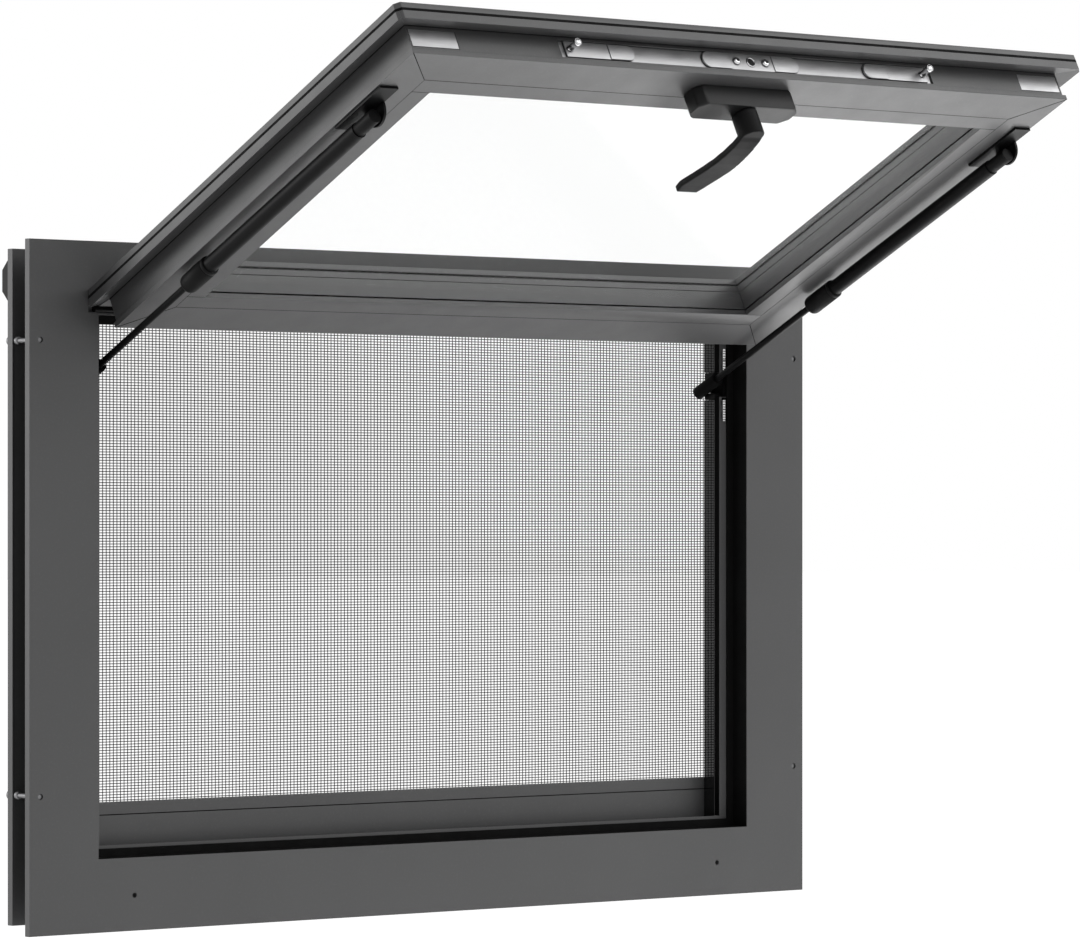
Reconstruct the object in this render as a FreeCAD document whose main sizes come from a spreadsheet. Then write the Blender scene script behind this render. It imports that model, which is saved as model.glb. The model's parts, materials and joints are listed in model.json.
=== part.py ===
import FreeCAD, Part
import math
import os
import re
import Sketcher

# Top-hung service window, sash propped open on two gas struts.
# X runs across the window, Y into the wall, Z up, all in millimetres.
# The origin lies on the back face of the front flange, which bears on the wall's outer face,
# at the middle of the flange's lower band.

# Driving sizes: name, value and what it measures
SIZES = {
    "opening_width": (800, "clear opening in the front flange, across"),
    "opening_height": (500, "clear opening in the front flange, up"),
    "side_band": (76.5, "front flange beside the opening"),
    "end_band": (67.5, "front flange above and below the opening"),
    "flange_thick": (7, "front flange"),
    "wall_space": (31.5, "room for the wall between the two flanges"),
    "rear_thick": (8, "rear frame plate"),
    "rear_inset": (7.5, "rear frame inside the front flange's edge"),
    "rear_reach": (17, "rear frame inside the opening at the sides"),
    "rear_head_reach": (6, "rear frame inside the opening at head and sill"),
    "clamp_edge": (12.2, "clamp screws from the flange's side edges"),
    "clamp_high": (91.8, "upper clamp screws below the flange's top"),
    "clamp_low": (127, "lower clamp screws above the flange's bottom"),
    "clamp_screw": (5, "clamp screw diameter"),
    "clamp_head": (9, "clamp screw head diameter"),
    "clamp_head_thick": (2.4, "clamp screw head"),
    "clamp_recess": (1.5, "clamp screw tip below the flange's front face"),
    "fix_side": (117, "fixing holes from the flange's side edges"),
    "fix_edge": (32.8, "fixing holes from the flange's top and bottom"),
    "fix_hole": (5, "fixing hole diameter"),
    "hole_clear": (0.6, "screw holes wider than their screws"),
    "liner_thick": (1.5, "black liner in the reveal"),
    "collar_thick": (2, "reveal collar wall"),
    "jamb_rebate": (6, "collar and liner let into the flange's back, at the sides and sill"),
    "head_rebate": (3, "collar and liner let into the flange's back, at the head"),
    "stop_depth": (23, "front face of the stop behind the flange's face"),
    "stop_thick": (1.5, "stop web"),
    "stop_reach": (17, "stop inside the opening at the jambs"),
    "web_gap": (0.3, "rear frame's return clear of the stop"),
    "head_reach": (8, "stop inside the opening at the head"),
    "sill_reach": (10.7, "stop inside the opening at the sill"),
    "guide_depth": (7, "stop's return towards the rear frame"),
    "seal_reach": (7.7, "black seal on the stop"),
    "seal_thick": (2, "black seal on the stop"),
    "rack_top": (20.2, "highest rack slot's centre below the opening's top"),
    "rack_pitch": (12.5, "rack slots, centre to centre"),
    "rack_tall": (11.4, "rack slot height"),
    "rack_wide": (6.1, "rack slot width"),
    "rack_bump": (3.4, "round bump beside each rack slot, radius"),
    "sight_near": (2, "rear frame's slots past the opening's side, near edge"),
    "sight_far": (16, "rear frame's slots past the opening's side, far edge"),
    "notch_high": (39, "top of the bracket notch below the opening's top"),
    "notch_low": (63.8, "foot of the bracket notch below the opening's top, in the stop"),
    "notch_deep": (67, "foot of the bracket notch below the opening's top, in the rear frame"),
    "screen_thick": (0.8, "insect screen"),
    "screen_bar": (3, "bars between the insect screen's openings"),
    "screen_gap": (0.3, "insect screen and its bar clear of the frame"),
    "screen_lap": (38, "insect screen past the opening at the sides"),
    "screen_back": (10.5, "insect screen behind the rear frame"),
    "bar_low": (4, "screen's bottom bar below the opening's sill"),
    "bar_split": (36.8, "top of the bottom bar's grip above the opening's sill"),
    "bar_high": (48.9, "top of the bottom bar above the opening's sill"),
    "bar_thick": (9.4, "screen's bottom bar"),
    "bar_upper": (7.4, "screen's bottom bar above its grip"),
    "housing_tall": (36.6, "roller housing"),
    "housing_deep": (22, "roller housing behind the rear frame"),
    "housing_low": (13.4, "roller housing above the opening's top"),
    "housing_inset": (9, "roller housing inside the rear frame's ends"),
    "housing_bevel": (8.5, "roller housing corners"),
    "cap_thick": (4, "roller housing end caps"),
    "hinge_rise": (5, "hinge axis above the opening's top"),
    "hinge_proud": (0.2, "hinge axis in front of the flange"),
    "open_angle": (116.8, "sash turned out from closed, degrees"),
    "side_clear": (5, "sash body clear of the opening's sides"),
    "sill_clear": (3.2, "sash body clear of the opening's sill"),
    "body_depth": (24, "sash body behind the lip"),
    "body_drop": (9, "sash body's top below the hinge axis"),
    "lip_reach": (16.5, "sash lip past the body"),
    "lip_hinge": (8.8, "sash lip past the body at the hinge"),
    "lip_thick": (8.2, "sash lip at its edge, inner layer"),
    "lip_slope": (5, "sash lip thinner at its root"),
    "lip_corner": (4.5, "sash lip's corners cut off"),
    "lip_gasket": (2.2, "gasket between the lip's layers"),
    "gasket_inset": (0.6, "lip gasket inside the lip's edge"),
    "cover_thick": (5.6, "outer cover frame"),
    "rail_width": (41.5, "sash rail without its bead"),
    "bead_width": (20, "glazing bead"),
    "bead_thick": (5.2, "glazing bead"),
    "wall_inset": (2, "rail's outer side inside its inner flange's edge"),
    "inner_flange": (4.8, "rail's inner flange"),
    "groove_depth": (8, "hardware pockets in the handle rail's outer side"),
    "groove_width": (17.2, "hardware pockets"),
    "groove_front": (1.4, "hardware pockets past the lip's back"),
    "pane_thick": (4, "each pane of glass"),
    "pane_space": (12, "space between the panes"),
    "pane_lap": (14, "glass behind the bead"),
    "glass_gap": (0.3, "glass clear of metal"),
    "spacer_width": (9, "spacer bar between the panes"),
    "rod_size": (6, "hinge rod diameter"),
    "rod_clear": (0.3, "hinge rod in its grooves"),
    "rod_inset": (6, "hinge rod inside the lip's ends"),
    "cleat_length": (51, "corner cleat"),
    "cleat_inset": (4, "corner cleat inside the body's end"),
    "plate_gap": (0.3, "hardware clear of its pockets' walls"),
    "plate_half": (224, "half of the lock faceplate's length"),
    "case_half": (58, "half of the lock's centre plate"),
    "case_raise": (1.5, "lock's centre plate above the faceplate"),
    "spindle_size": (7, "spindle, across"),
    "slide_inset": (6, "slide plate inside the faceplate's end, unlocked"),
    "slide_long": (79, "slide plate"),
    "slide_thick": (1.4, "slide plate"),
    "slide_width": (15.4, "slide plate"),
    "slide_gap": (0.4, "slide plate above the faceplate"),
    "pin_inset": (5, "lock pin's centre from the slide plate's outer end"),
    "pin_size": (4.5, "lock pin diameter"),
    "pin_tall": (13, "lock pin above its plate"),
    "pin_head": (7, "lock pin head diameter"),
    "pin_head_tall": (3.5, "lock pin head"),
    "spindle_drop": (31, "spindle from the sash body's handle end"),
    "base_length": (120, "handle base"),
    "base_width": (27, "handle base"),
    "base_tall": (20, "handle base"),
    "base_chamfer": (7, "handle base corners"),
    "neck_size": (24, "handle neck diameter"),
    "neck_gap": (0.5, "handle neck clear of its base"),
    "lever_clear": (18.8, "lever's blade above the handle base"),
    "lever_thick": (6, "lever's blade, thickness"),
    "lever_width": (30, "lever's blade, width"),
    "lever_length": (100, "lever's blade, spindle to tip"),
    "lever_flare": (55, "lever's blade at full width, from the spindle"),
    "lever_tip": (11, "lever's tip narrows over this length"),
    "lever_arch": (4.9, "lever's blade bowed away from the sash"),
    "ball_size": (8, "ball studs"),
    "ball_gap": (0.3, "ball clear of its socket"),
    "stud_size": (5, "ball stud shank"),
    "upper_inset": (11.5, "upper ball inside the sash body's side"),
    "upper_down": (90, "upper ball from the sash body's handle end"),
    "upper_out": (13.1, "upper ball off the sash's inner face"),
    "lower_inset": (18.7, "lower balls inside the opening's sides, on average"),
    "lower_shift": (2.3, "lower balls off centre, their brackets being of one hand"),
    "lower_back": (44.7, "lower ball behind the flange's face"),
    "lower_drop": (56.9, "lower ball below the opening's top"),
    "socket_size": (13, "end fitting diameter"),
    "socket_end": (7, "end fitting past its ball"),
    "upper_socket": (18, "upper end fitting, ball to tube"),
    "lower_socket": (26, "lower end fitting, ball to rod"),
    "tube_size": (15, "strut tube diameter"),
    "tube_end": (262, "strut tube's open end from the upper ball"),
    "sleeve_size": (19, "sleeve on the strut tube, diameter"),
    "sleeve_long": (52, "sleeve on the strut tube"),
    "sleeve_lap": (14, "sleeve over the tube"),
    "fit_gap": (0.3, "tube and rod clear of the sleeve"),
    "strut_rod_size": (6.5, "strut rod diameter"),
    "ear_inset": (8.5, "frame bracket's ear inside the opening's side"),
    "ear_thick": (2.5, "frame bracket's ear"),
    "ear_front": (25.5, "frame bracket's ear behind the flange's face"),
    "foot_wide": (18, "frame bracket's foot"),
    "foot_thick": (2.5, "frame bracket's foot"),
    "foot_gap": (0.3, "frame bracket inside its notch"),
    "lug_long": (71, "sash bracket plate"),
    "lug_top": (54.5, "sash bracket plate from the body's handle end"),
    "lug_wide": (20, "sash bracket plate"),
    "lug_thick": (2.5, "sash bracket plate"),
    "tab_thick": (2.5, "sash bracket's ear"),
    "tab_radius": (13.5, "sash bracket's ear"),
    "tab_out": (5, "centre of the sash bracket's ear off the sash"),
}

# Openings in the insect screen
SCREEN_ACROSS = 12
SCREEN_UP = 7

doc = FreeCAD.newDocument("ServiceWindow")
sheet = doc.addObject("Spreadsheet::Sheet", "Sizes")
for line_number, (size_name, (size_value, meaning)) in enumerate(SIZES.items(), start=1):
    sheet.set("A%d" % line_number, size_name)
    sheet.set("B%d" % line_number, str(size_value))
    sheet.set("C%d" % line_number, meaning)
    sheet.setAlias("B%d" % line_number, size_name)
doc.recompute()

nodes = []


# Expressions

def bound(text):
    """An expression with each size's name pointed at its cell."""
    return re.sub(r"[a-z][a-z_0-9]*", lambda word: prefixed(word.group()), str(text))


def prefixed(word):
    return "Sizes." + word if word in SIZES else word


def size(text):
    """The number that an expression gives now."""
    return float(sheet.evalExpression(bound(text)))


# Outlines, drawn on a sketch with every corner bound to the sheet

def polygon(*corners):
    def draw(sketch):
        first = sketch.GeometryCount
        spots = [FreeCAD.Vector(size(x), size(y), 0) for x, y in corners]
        for index, spot in enumerate(spots):
            sketch.addGeometry(Part.LineSegment(spot, spots[(index + 1) % len(spots)]), False)
        for index, (x, y) in enumerate(corners):
            edge = first + index
            after = first + (index + 1) % len(corners)
            sketch.addConstraint(Sketcher.Constraint("Coincident", edge, 2, after, 1))
            pin_point(sketch, edge, 1, x, y)
    return draw


def rectangle(left, low, right, high):
    return polygon((left, low), (right, low), (right, high), (left, high))


def circle(x, y, radius):
    def draw(sketch):
        centre = FreeCAD.Vector(size(x), size(y), 0)
        edge = sketch.addGeometry(Part.Circle(centre, FreeCAD.Vector(0, 0, 1), size(radius)), False)
        pin_point(sketch, edge, 3, x, y)
        index = sketch.addConstraint(Sketcher.Constraint("Radius", edge, size(radius)))
        sketch.setExpression("Constraints[%d]" % index, bound(radius))
    return draw


def pin_point(sketch, edge, point, x, y):
    for kind, text in (("DistanceX", x), ("DistanceY", y)):
        index = sketch.addConstraint(Sketcher.Constraint(kind, -1, 1, edge, point, size(text)))
        sketch.setExpression("Constraints[%d]" % index, bound(text))


# Features: each runs from a start coordinate along the positive axis that its plane leaves out

def sketch_on(body, plane, start, outlines):
    sketch = body.newObject("Sketcher::SketchObject", body.Name + "Sketch")
    origin_plane = next(item for item in body.Origin.OriginFeatures if item.Role == plane + "_Plane")
    sketch.AttachmentSupport = [(origin_plane, "")]
    sketch.MapMode = "FlatFace"
    sign = "-1" if plane == "XZ" else "1"
    sketch.setExpression("AttachmentOffset.Base.z", bound("%s*(%s)" % (sign, start)))
    for draw in outlines:
        draw(sketch)
    return sketch


def slab(plane, start, depth, *outlines):
    def build(body):
        pad = body.newObject("PartDesign::Pad", body.Name + "Pad")
        pad.Profile = sketch_on(body, plane, start, outlines)
        pad.setExpression("Length", bound(depth))
        pad.Reversed = plane == "XZ"
    return build


def cut(plane, start, depth, *outlines):
    def build(body):
        pocket = body.newObject("PartDesign::Pocket", body.Name + "Pocket")
        pocket.Profile = sketch_on(body, plane, start, outlines)
        pocket.setExpression("Length", bound(depth))
        pocket.Reversed = plane != "XZ"
    return build


def piece(name, *features, on_sash=False):
    body = doc.addObject("PartDesign::Body", name)
    body.Label = name
    for feature in features:
        feature(body)
    if on_sash:
        body.Placement = sash_placement()
        body.setExpression("Placement.Base.y", bound(HINGE_Y))
        body.setExpression("Placement.Base.z", bound(HINGE_Z))
        body.setExpression("Placement.Rotation.Angle", bound("-open_angle*1 deg"))
    nodes.append(body)
    return body


# Where the sash hangs
HINGE_Y = "-flange_thick - hinge_proud"
HINGE_Z = "end_band/2 + opening_height + hinge_rise"


def sash_placement():
    place = FreeCAD.Vector(0, size(HINGE_Y), size(HINGE_Z))
    turn = FreeCAD.Rotation(FreeCAD.Vector(1, 0, 0), -size("open_angle"))
    return FreeCAD.Placement(place, turn)


# Shared places in the frame
OPEN_X = "opening_width/2"
OPEN_LOW = "end_band/2"
OPEN_HIGH = "(end_band/2 + opening_height)"
FLANGE_X = "(opening_width/2 + side_band)"
FLANGE_LOW = "(-end_band/2)"
FLANGE_HIGH = "(end_band*1.5 + opening_height)"
REAR_X = "(opening_width/2 + side_band - rear_inset)"
REAR_BACK = "(wall_space + rear_thick)"
STOP_Y = "(stop_depth - flange_thick)"
WEB_BACK = "(stop_depth - flange_thick + stop_thick)"
GUIDE_END = "(stop_depth - flange_thick + guide_depth)"
SCREEN_Y = "(wall_space + rear_thick + screen_back)"
NOTCH_X = "(opening_width/2 - seal_reach)"
EAR_X = "(opening_width/2 - ear_inset)"
LINER_X = "(opening_width/2 + liner_thick)"
LINER_LOW = "(end_band/2 - liner_thick)"
LINER_HIGH = "(end_band/2 + opening_height + liner_thick)"
COLLAR_X = "(opening_width/2 + liner_thick + collar_thick)"
NOTCH_HIGH = "(end_band/2 + opening_height - notch_high)"
NOTCH_LOW = "(end_band/2 + opening_height - notch_deep)"
CLAMP_X = "(opening_width/2 + side_band - clamp_edge)"
CLAMP_ZS = ("(end_band*1.5 + opening_height - clamp_high)", "(clamp_low - end_band/2)")
FIX_X = "(opening_width/2 + side_band - fix_side)"
BODY_X = "(opening_width/2 - side_clear)"
FIX_ZS = ("(end_band*1.5 + opening_height - fix_edge)", "(fix_edge - end_band/2)")


def clamp_circles(radius):
    return [circle("%s*%s" % (side, CLAMP_X), z, radius) for side in (-1, 1) for z in CLAMP_ZS]


def front_flange():
    fixings = [circle("%s*%s" % (side, FIX_X), z, "fix_hole/2") for side in (-1, 1) for z in FIX_ZS]
    piece("front_flange",
          slab("XZ", "-flange_thick", "flange_thick",
               rectangle("-" + FLANGE_X, FLANGE_LOW, FLANGE_X, FLANGE_HIGH),
               rectangle("-" + OPEN_X, OPEN_LOW, OPEN_X, OPEN_HIGH),
               *clamp_circles("(clamp_screw + hole_clear)/2"),
               *fixings),
          cut("XZ", "-jamb_rebate", "jamb_rebate",
              rectangle("-" + COLLAR_X, LINER_LOW + " - collar_thick", COLLAR_X, OPEN_HIGH)),
          cut("XZ", "-head_rebate", "head_rebate",
              rectangle("-" + COLLAR_X, OPEN_HIGH, COLLAR_X, LINER_HIGH + " + collar_thick")),
          cut("YZ", "-%s - lip_reach" % BODY_X, "2*%s + 2*lip_reach" % BODY_X,
              circle(HINGE_Y, HINGE_Z, "rod_size/2 + rod_clear")))


def reveal():
    """Collar round the opening with the stop that the sash closes on."""
    above = LINER_HIGH + " + collar_thick"
    below = LINER_LOW + " - collar_thick"
    piece("reveal_head",
          slab("YZ", "-" + COLLAR_X, "2*" + COLLAR_X,
               polygon(("-head_rebate", LINER_HIGH), (STOP_Y, LINER_HIGH),
                       (STOP_Y, OPEN_HIGH + " - head_reach"), (WEB_BACK, OPEN_HIGH + " - head_reach"),
                       (WEB_BACK, above), ("-head_rebate", above))))
    piece("reveal_sill",
          slab("YZ", "-" + COLLAR_X, "2*" + COLLAR_X,
               polygon(("-jamb_rebate", below), (WEB_BACK, below),
                       (WEB_BACK, OPEN_LOW + " + sill_reach"), (STOP_Y, OPEN_LOW + " + sill_reach"),
                       (STOP_Y, LINER_LOW), ("-jamb_rebate", LINER_LOW))))
    for name, side in (("left", "-1"), ("right", "1")):
        inner = OPEN_X + " - stop_reach"
        corners = ((LINER_X, "-jamb_rebate"), (LINER_X, STOP_Y), (inner, STOP_Y), (inner, GUIDE_END),
                   (inner + " + stop_thick", GUIDE_END), (inner + " + stop_thick", WEB_BACK),
                   (COLLAR_X, WEB_BACK), (COLLAR_X, "-jamb_rebate"))
        piece("reveal_jamb_" + name,
              slab("XY", OPEN_LOW + " + sill_reach", "opening_height - sill_reach - head_reach",
                   polygon(*[("%s*(%s)" % (side, x), y) for x, y in corners])),
              slab("XZ", "-head_rebate", STOP_Y + " + head_rebate",
                   rectangle("%s*%s" % (side, LINER_X), LINER_LOW, "%s*%s" % (side, COLLAR_X), LINER_HIGH)),
              cut("XZ", STOP_Y, "guide_depth",
                  rectangle("%s*(%s)" % (side, inner), OPEN_HIGH + " - notch_low",
                            "%s*%s" % (side, NOTCH_X), NOTCH_HIGH)),
              *rack_cuts(side))


def rack_place(index):
    return "(%s - rack_top - %d*rack_pitch)" % (OPEN_HIGH, index)


def rack_cuts(side):
    """Keyhole slots down the stop above and below the strut's bracket."""
    cuts = []
    inner = "%s*(opening_width/2 - seal_reach - rack_wide)" % side
    outer = "%s*%s" % (side, NOTCH_X)
    bump_x = "%s*(opening_width/2 - stop_reach + stop_thick + rack_bump)" % side
    for index in (0, 1, 4, 5):
        middle = rack_place(index)
        cuts.append(cut("XZ", STOP_Y, "stop_thick",
                        rectangle(inner, middle + " - rack_tall/2", outer, middle + " + rack_tall/2")))
        cuts.append(cut("XZ", STOP_Y, "stop_thick", circle(bump_x, middle, "rack_bump")))
    return cuts


def frame_seal():
    """Black liner in the reveal and the seal lip on the stop."""
    inner_x = OPEN_X + " - seal_reach"
    piece("frame_seal",
          slab("XZ", "-jamb_rebate", STOP_Y + " + jamb_rebate",
               rectangle("-" + LINER_X, LINER_LOW, LINER_X, LINER_HIGH),
               rectangle("-" + OPEN_X, OPEN_LOW, OPEN_X, OPEN_HIGH)),
          cut("XZ", "-jamb_rebate", "jamb_rebate - head_rebate",
              rectangle("-" + LINER_X, OPEN_HIGH, LINER_X, LINER_HIGH)),
          slab("XZ", STOP_Y + " - seal_thick", "seal_thick",
               rectangle("-" + OPEN_X, OPEN_LOW, OPEN_X, OPEN_HIGH),
               rectangle("-(%s)" % inner_x, OPEN_LOW + " + seal_reach",
                         inner_x, OPEN_HIGH + " - seal_reach")))


def rear_frame():
    """Clamping frame on the wall's inner face with a return towards the stop."""
    inner = "(opening_width/2 - rear_reach)"
    low = OPEN_LOW + " + rear_head_reach"
    high = OPEN_HIGH + " - rear_head_reach"
    slots = []
    notches = []
    for side in ("-1", "1"):
        slots.append(rectangle("%s*(opening_width/2 + sight_near)" % side, rack_place(5) + " - rack_tall/2",
                               "%s*(opening_width/2 + sight_far)" % side, rack_place(0) + " + rack_tall/2"))
        notches.append(cut("XZ", GUIDE_END, REAR_BACK + " - " + GUIDE_END,
                           rectangle("%s*%s" % (side, inner), NOTCH_LOW,
                                     "%s*(%s + ear_thick + foot_gap)" % (side, EAR_X), NOTCH_HIGH)))
    piece("rear_frame",
          slab("XZ", "wall_space", "rear_thick",
               rectangle("-" + REAR_X, FLANGE_LOW + " + rear_inset", REAR_X, FLANGE_HIGH + " - rear_inset"),
               rectangle("-" + inner, low, inner, high),
               *clamp_circles("(clamp_screw + hole_clear)/2"), *slots),
          slab("XZ", GUIDE_END + " + web_gap", "wall_space - %s - web_gap" % GUIDE_END,
               rectangle("-%s - stop_thick" % inner, low + " - stop_thick", inner + " + stop_thick",
                         high + " + stop_thick"),
               rectangle("-" + inner, low, inner, high)),
          *notches)


def clamp_screws():
    piece("clamp_screws",
          slab("XZ", "clamp_recess - flange_thick", "flange_thick - clamp_recess + " + REAR_BACK,
               *clamp_circles("clamp_screw/2")),
          slab("XZ", REAR_BACK, "clamp_head_thick", *clamp_circles("clamp_head/2")))


def insect_screen():
    """Screen grid down from the roller to a bar that rests on the rear frame."""
    edge = OPEN_X + " + screen_lap"
    bar_start = REAR_BACK + " + screen_gap"
    piece("screen_bottom_bar",
          slab("XZ", bar_start, "bar_thick",
               rectangle("-(%s)" % edge, OPEN_LOW + " - bar_low", edge, OPEN_LOW + " + bar_split")),
          slab("XZ", bar_start, "bar_upper",
               rectangle("-(%s)" % edge, OPEN_LOW + " + bar_split", edge, OPEN_LOW + " + bar_high")))
    top = OPEN_HIGH + " + housing_low - screen_gap"
    uprights = []
    for index in range(SCREEN_ACROSS + 1):
        left = "-(%s) + %d*(2*(%s) - screen_bar)/%d" % (edge, index, edge, SCREEN_ACROSS)
        uprights.append(rectangle(left, OPEN_LOW, left + " + screen_bar", top))
    levels = []
    for index in range(SCREEN_UP + 1):
        low = "%s + %d*(%s - screen_bar - %s)/%d" % (OPEN_LOW, index, top, OPEN_LOW, SCREEN_UP)
        levels.append(rectangle("-(%s)" % edge, low, edge, low + " + screen_bar"))
    piece("insect_screen",
          slab("XZ", SCREEN_Y, "screen_thick", *uprights),
          slab("XZ", SCREEN_Y, "screen_thick", *levels))


def roller_housing():
    low = OPEN_HIGH + " + housing_low"
    back = REAR_BACK + " + housing_deep"
    ends = REAR_X + " - housing_inset"
    outline = polygon((REAR_BACK, low), (back + " - housing_bevel", low), (back, low + " + housing_bevel"),
                      (back, low + " + housing_tall - housing_bevel"),
                      (back + " - housing_bevel", low + " + housing_tall"),
                      (REAR_BACK, low + " + housing_tall"))
    piece("roller_housing", slab("YZ", "-(%s) + cap_thick" % ends, "2*(%s - cap_thick)" % ends, outline))
    piece("roller_end_caps", slab("YZ", "-(%s)" % ends, "cap_thick", outline),
          slab("YZ", ends + " - cap_thick", "cap_thick", outline))


# The sash, drawn closed with its hinge axis on the X axis, then swung open by its placement
BODY_HIGH = "(-body_drop)"
BODY_LOW = "(sill_clear - hinge_rise - opening_height)"
BODY_LONG = "(opening_height + hinge_rise - sill_clear - body_drop)"
LIP_FRONT = "(-lip_thick)"
COVER_BACK = "(-lip_thick - lip_gasket)"
COVER_FRONT = "(-lip_thick - lip_gasket - cover_thick)"
DAYLIGHT = "(rail_width + bead_width)"
GROOVE_LOW = "(-groove_front)"
GROOVE_HIGH = "(groove_width - groove_front)"
GROOVE_MIDDLE = "(groove_width/2 - groove_front)"
PLATE_LOW = "(plate_gap - groove_front)"
PLATE_HIGH = "(groove_width - groove_front - plate_gap)"
PANE_FRONT = "(body_depth - bead_thick - glass_gap - 2*pane_thick - pane_space)"


def rail_section(place, reach):
    """Outline of a rail: place turns a distance in from the body's edge into a coordinate."""
    floor = PANE_FRONT + " - glass_gap"
    corners = (("0", "body_depth"), ("rail_width", "body_depth"), ("rail_width", floor), (DAYLIGHT, floor),
               (DAYLIGHT, LIP_FRONT), ("-" + reach, LIP_FRONT), ("-" + reach, "0"),
               ("wall_inset", "-lip_slope"), ("wall_inset", "body_depth - inner_flange"),
               ("0", "body_depth - inner_flange"))
    return [(place(inward), depth) for inward, depth in corners]


def hinge_end():
    """End of the sash by the hinge, sloped to lie flat along the flange when open, and the rod's groove."""
    top = BODY_HIGH + " + lip_hinge"
    far = "3*lip_reach"
    slope = "tan((open_angle - 90)*1 deg)"
    start = "-%s - 2*lip_reach" % BODY_X
    length = "2*%s + 4*lip_reach" % BODY_X
    return (cut("YZ", start, length,
                polygon(("0", top), ("0", "%s + %s" % (top, far)), ("-" + far, "%s + %s" % (top, far)),
                        ("-" + far, "%s - %s*%s" % (top, far, slope)))),
            cut("YZ", start, length, circle("0", "0", "rod_size/2 + rod_clear")))


def corner_cut(side):
    """The lip's corner cut off at the handle end."""
    edge = "%s*(%s + lip_reach" % (side, BODY_X)
    end = BODY_LOW + " - lip_reach"
    return cut("XZ", COVER_FRONT, "-" + COVER_FRONT,
               polygon((edge + " - 2*lip_corner)", end + " - lip_corner"),
                       (edge + " + lip_corner)", end + " - lip_corner"),
                       (edge + " + lip_corner)", end + " + 2*lip_corner")))


def pocket(start, end):
    """Hardware pocket in the handle rail's outer side."""
    return cut("XY", BODY_LOW, "wall_inset + groove_depth",
               rectangle(start, GROOVE_LOW, end, GROOVE_HIGH))


def cleat_pocket(side):
    return pocket("%s*(%s - cleat_inset - cleat_length - plate_gap)" % (side, BODY_X),
                  "%s*(%s - cleat_inset + plate_gap)" % (side, BODY_X))


def sash_rails():
    """Four mitred rails of one extrusion."""
    width = DAYLIGHT + " + 2*lip_reach"
    for name, sign, edge, reach in (("sash_rail_handle", "", BODY_LOW, "lip_reach"),
                                    ("sash_rail_hinge", "-", BODY_HIGH, "lip_hinge")):
        def across(inward, sign=sign, edge=edge):
            return "%s %s (%s)" % (edge, sign or "+", inward)
        section = [(depth, place) for place, depth in rail_section(across, reach)]
        mitres = []
        for side in ("-1", "1"):
            corners = ((BODY_X + " + 2*lip_reach", across("-2*lip_reach")),
                       (BODY_X + " + %s" % width, across("-2*lip_reach")),
                       (BODY_X + " + %s" % width, across(width)),
                       (BODY_X + " - (%s)" % width, across(width)))
            mitres.append(cut("XZ", COVER_FRONT, "body_depth - " + COVER_FRONT,
                              polygon(*[("%s*(%s)" % (side, x), z) for x, z in corners])))
        if sign:
            mitres += hinge_end()
        else:
            mitres += [corner_cut("-1"), corner_cut("1"), cleat_pocket("-1"), cleat_pocket("1"),
                       pocket("-(plate_half + plate_gap)", "plate_half + plate_gap")]
        piece(name, slab("YZ", "-(%s + lip_reach)" % BODY_X, "2*(%s + lip_reach)" % BODY_X,
                         polygon(*section)), *mitres, on_sash=True)
    for name, side in (("sash_stile_left", "-1"), ("sash_stile_right", "1")):
        def inside(inward, side=side):
            return "%s*(%s - (%s))" % (side, BODY_X, inward)
        section = rail_section(inside, "lip_reach")
        mitres = []
        for end, turn in ((BODY_LOW, "+"), (BODY_HIGH, "-")):
            corners = ((inside("-2*lip_reach"), "%s %s (-2*lip_reach)" % (end, turn)),
                       (inside("-2*lip_reach"), "%s %s (-3*lip_reach)" % (end, turn)),
                       (inside(width), "%s %s (-3*lip_reach)" % (end, turn)),
                       (inside(width), "%s %s (%s)" % (end, turn, width)))
            mitres.append(cut("XZ", COVER_FRONT, "body_depth - " + COVER_FRONT, polygon(*corners)))
        piece(name, slab("XY", BODY_LOW + " - lip_reach", BODY_LONG + " + lip_reach + lip_hinge",
                         polygon(*section)), *mitres, *hinge_end(), corner_cut(side), cleat_pocket(side),
              on_sash=True)


def ring(inward, reach, hinge_reach):
    """Outer and inner rectangles of a frame round the sash."""
    outer = rectangle("-(%s + %s)" % (BODY_X, reach), BODY_LOW + " - " + reach,
                      "%s + %s" % (BODY_X, reach), BODY_HIGH + " + " + hinge_reach)
    inner = rectangle("-(%s - (%s))" % (BODY_X, inward), "%s + %s" % (BODY_LOW, inward),
                      "%s - (%s)" % (BODY_X, inward), "%s - (%s)" % (BODY_HIGH, inward))
    return outer, inner


def sash_cover():
    slope = hinge_end()[0]
    piece("lip_gasket", slab("XZ", COVER_BACK, "lip_gasket",
                             *ring(DAYLIGHT, "(lip_reach - gasket_inset)", "(lip_hinge - gasket_inset)")),
          slope, corner_cut("-1"), corner_cut("1"), on_sash=True)
    piece("sash_cover", slab("XZ", COVER_FRONT, "cover_thick", *ring(DAYLIGHT, "lip_reach", "lip_hinge")),
          slope, corner_cut("-1"), corner_cut("1"), on_sash=True)


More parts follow.
